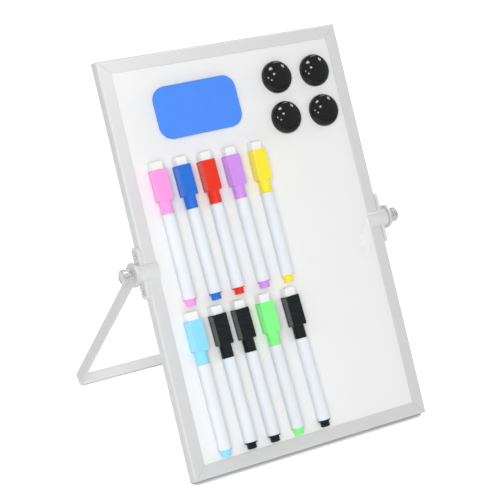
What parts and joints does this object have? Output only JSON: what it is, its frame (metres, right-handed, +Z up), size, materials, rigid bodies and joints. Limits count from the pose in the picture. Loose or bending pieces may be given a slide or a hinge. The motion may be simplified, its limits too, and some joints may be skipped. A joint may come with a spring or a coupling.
{
  "type": "magnetic desk whiteboard easel",
  "caption": "Double-sided magnetic whiteboard in an aluminium frame, held up by a swinging U-shaped stand, with round magnets, an eraser and capped markers on its face.",
  "frame": {"origin": "on the floor, in the middle of the footprint", "axes": "+Z up, +X to the right seen from the writing side, the writing side faces -Y and leans back 30 degrees"},
  "size_m": [0.2374, 0.1738, 0.2677],
  "materials": {
    "frame_aluminium": "satin silver anodised",
    "stand_metal": "satin silver",
    "bracket_plastic": "light grey moulded plastic",
    "key_plastic": "moulded",
    "core_board": "light core panel",
    "coated_steel": "gloss white dry-wipe coating",
    "nickel": "bright nickel plate",
    "magnet_black": "high gloss",
    "eraser_blue": "fine closed-cell foam",
    "eraser_felt": "pressed felt",
    "pad_felt": "white pressed felt",
    "barrel_white": "gloss white",
    "pink_plastic": "semi-gloss coloured plastic",
    "blue_plastic": "semi-gloss coloured plastic",
    "red_plastic": "semi-gloss coloured plastic",
    "purple_plastic": "semi-gloss coloured plastic",
    "yellow_plastic": "semi-gloss coloured plastic",
    "light_blue_plastic": "semi-gloss coloured plastic",
    "black_plastic": "semi-gloss coloured plastic",
    "green_plastic": "semi-gloss coloured plastic"
  },
  "bodies": {
    "board": {"rail_top": "frame_aluminium", "rail_bottom": "frame_aluminium", "rail_left": "frame_aluminium", "rail_right": "frame_aluminium", "corner_keys": "key_plastic", "board_core": "core_board", "writing_sheets": "coated_steel", "bracket_left": "bracket_plastic", "bracket_right": "bracket_plastic", "bracket_screws": "nickel", "pivot_nuts": "nickel"},
    "stand": {"stand": "stand_metal"},
    "thumb_screw_left": {"thumb_screw_left": "nickel"},
    "thumb_screw_right": {"thumb_screw_right": "nickel"},
    "board_magnet_1": {"board_magnet_1": "magnet_black"},
    "board_magnet_2": {"board_magnet_2": "magnet_black"},
    "board_magnet_3": {"board_magnet_3": "magnet_black"},
    "board_magnet_4": {"board_magnet_4": "magnet_black"},
    "eraser": {"eraser_foam": "eraser_blue", "eraser_felt": "eraser_felt"},
    "pink_marker_cap": {"pink_cap": "pink_plastic", "pink_wiping_pad": "pad_felt"},
    "pink_marker_pen": {"pink_barrel": "barrel_white", "pink_plug": "pink_plastic"},
    "blue_marker_cap": {"blue_cap": "blue_plastic", "blue_wiping_pad": "pad_felt"},
    "blue_marker_pen": {"blue_barrel": "barrel_white", "blue_plug": "blue_plastic"},
    "red_marker_cap": {"red_cap": "red_plastic", "red_wiping_pad": "pad_felt"},
    "red_marker_pen": {"red_barrel": "barrel_white", "red_plug": "red_plastic"},
    "purple_marker_cap": {"purple_cap": "purple_plastic", "purple_wiping_pad": "pad_felt"},
    "purple_marker_pen": {"purple_barrel": "barrel_white", "purple_plug": "purple_plastic"},
    "yellow_marker_cap": {"yellow_cap": "yellow_plastic", "yellow_wiping_pad": "pad_felt"},
    "yellow_marker_pen": {"yellow_barrel": "barrel_white", "yellow_plug": "yellow_plastic"},
    "light_blue_marker_cap": {"light_blue_cap": "light_blue_plastic", "light_blue_wiping_pad": "pad_felt"},
    "light_blue_marker_pen": {"light_blue_barrel": "barrel_white", "light_blue_plug": "light_blue_plastic"},
    "black_1_marker_cap": {"black_1_cap": "black_plastic", "black_1_wiping_pad": "pad_felt"},
    "black_1_marker_pen": {"black_1_barrel": "barrel_white", "black_1_plug": "black_plastic"},
    "black_2_marker_cap": {"black_2_cap": "black_plastic", "black_2_wiping_pad": "pad_felt"},
    "black_2_marker_pen": {"black_2_barrel": "barrel_white", "black_2_plug": "black_plastic"},
    "green_marker_cap": {"green_cap": "green_plastic", "green_wiping_pad": "pad_felt"},
    "green_marker_pen": {"green_barrel": "barrel_white", "green_plug": "green_plastic"},
    "black_3_marker_cap": {"black_3_cap": "black_plastic", "black_3_wiping_pad": "pad_felt"},
    "black_3_marker_pen": {"black_3_barrel": "barrel_white", "black_3_plug": "black_plastic"}
  },
  "joints": [
    {"name": "stand_swing", "type": "hinge", "parent": "board", "child": "stand", "pos_m": [0, -0.00611, 0.13387], "axis": [1, 0, 0], "continuous": true},
    {"name": "thumb_screw_left_turn", "type": "hinge", "parent": "board", "child": "thumb_screw_left", "pos_m": [-0.112, -0.00611, 0.13387], "axis": [-1, 0, 0], "range_deg": [0, 720]},
    {"name": "thumb_screw_right_turn", "type": "hinge", "parent": "board", "child": "thumb_screw_right", "pos_m": [0.112, -0.00611, 0.13387], "axis": [1, 0, 0], "range_deg": [0, 720]},
    {"name": "board_magnet_1_pull", "type": "slide", "parent": "board", "child": "board_magnet_1", "axis": [0, -0.866, 0.5], "range_m": [0, 0.03]},
    {"name": "board_magnet_2_pull", "type": "slide", "parent": "board", "child": "board_magnet_2", "axis": [0, -0.866, 0.5], "range_m": [0, 0.03]},
    {"name": "board_magnet_3_pull", "type": "slide", "parent": "board", "child": "board_magnet_3", "axis": [0, -0.866, 0.5], "range_m": [0, 0.03]},
    {"name": "board_magnet_4_pull", "type": "slide", "parent": "board", "child": "board_magnet_4", "axis": [0, -0.866, 0.5], "range_m": [0, 0.03]},
    {"name": "eraser_pull", "type": "slide", "parent": "board", "child": "eraser", "axis": [0, -0.866, 0.5], "range_m": [0, 0.03]},
    {"name": "pink_marker_pull", "type": "slide", "parent": "board", "child": "pink_marker_pen", "axis": [0, -0.866, 0.5], "range_m": [0, 0.03]},
    {"name": "pink_cap_pull", "type": "slide", "parent": "pink_marker_pen", "child": "pink_marker_cap", "axis": [-0.0175, 0.4999, 0.8659], "range_m": [0, 0.013]},
    {"name": "blue_marker_pull", "type": "slide", "parent": "board", "child": "blue_marker_pen", "axis": [0, -0.866, 0.5], "range_m": [0, 0.03]},
    {"name": "blue_cap_pull", "type": "slide", "parent": "blue_marker_pen", "child": "blue_marker_cap", "axis": [-0.0314, 0.4998, 0.8656], "range_m": [0, 0.013]},
    {"name": "red_marker_pull", "type": "slide", "parent": "board", "child": "red_marker_pen", "axis": [0, -0.866, 0.5], "range_m": [0, 0.03]},
    {"name": "red_cap_pull", "type": "slide", "parent": "red_marker_pen", "child": "red_marker_cap", "axis": [-0.0244, 0.4999, 0.8658], "range_m": [0, 0.013]},
    {"name": "purple_marker_pull", "type": "slide", "parent": "board", "child": "purple_marker_pen", "axis": [0, -0.866, 0.5], "range_m": [0, 0.03]},
    {"name": "purple_cap_pull", "type": "slide", "parent": "purple_marker_pen", "child": "purple_marker_cap", "axis": [-0.0314, 0.4998, 0.8656], "range_m": [0, 0.013]},
    {"name": "yellow_marker_pull", "type": "slide", "parent": "board", "child": "yellow_marker_pen", "axis": [0, -0.866, 0.5], "range_m": [0, 0.03]},
    {"name": "yellow_cap_pull", "type": "slide", "parent": "yellow_marker_pen", "child": "yellow_marker_cap", "axis": [-0.0157, 0.4999, 0.8659], "range_m": [0, 0.013]},
    {"name": "light_blue_marker_pull", "type": "slide", "parent": "board", "child": "light_blue_marker_cap", "axis": [0, -0.866, 0.5], "range_m": [0, 0.03]},
    {"name": "light_blue_pen_pull", "type": "slide", "parent": "light_blue_marker_cap", "child": "light_blue_marker_pen", "axis": [0.0175, -0.4999, -0.8659], "range_m": [0, 0.013]},
    {"name": "black_1_marker_pull", "type": "slide", "parent": "board", "child": "black_1_marker_cap", "axis": [0, -0.866, 0.5], "range_m": [0, 0.03]},
    {"name": "black_1_pen_pull", "type": "slide", "parent": "black_1_marker_cap", "child": "black_1_marker_pen", "axis": [0.0314, -0.4998, -0.8656], "range_m": [0, 0.013]},
    {"name": "black_2_marker_pull", "type": "slide", "parent": "board", "child": "black_2_marker_cap", "axis": [0, -0.866, 0.5], "range_m": [0, 0.03]},
    {"name": "black_2_pen_pull", "type": "slide", "parent": "black_2_marker_cap", "child": "black_2_marker_pen", "axis": [0.0401, -0.4996, -0.8653], "range_m": [0, 0.013]},
    {"name": "green_marker_pull", "type": "slide", "parent": "board", "child": "green_marker_cap", "axis": [0, -0.866, 0.5], "range_m": [0, 0.03]},
    {"name": "green_pen_pull", "type": "slide", "parent": "green_marker_cap", "child": "green_marker_pen", "axis": [0.0349, -0.4997, -0.8655], "range_m": [0, 0.013]},
    {"name": "black_3_marker_pull", "type": "slide", "parent": "board", "child": "black_3_marker_cap", "axis": [0, -0.866, 0.5], "range_m": [0, 0.03]},
    {"name": "black_3_pen_pull", "type": "slide", "parent": "black_3_marker_cap", "child": "black_3_marker_pen", "axis": [0.0436, -0.4995, -0.8652], "range_m": [0, 0.013]}
  ]
}
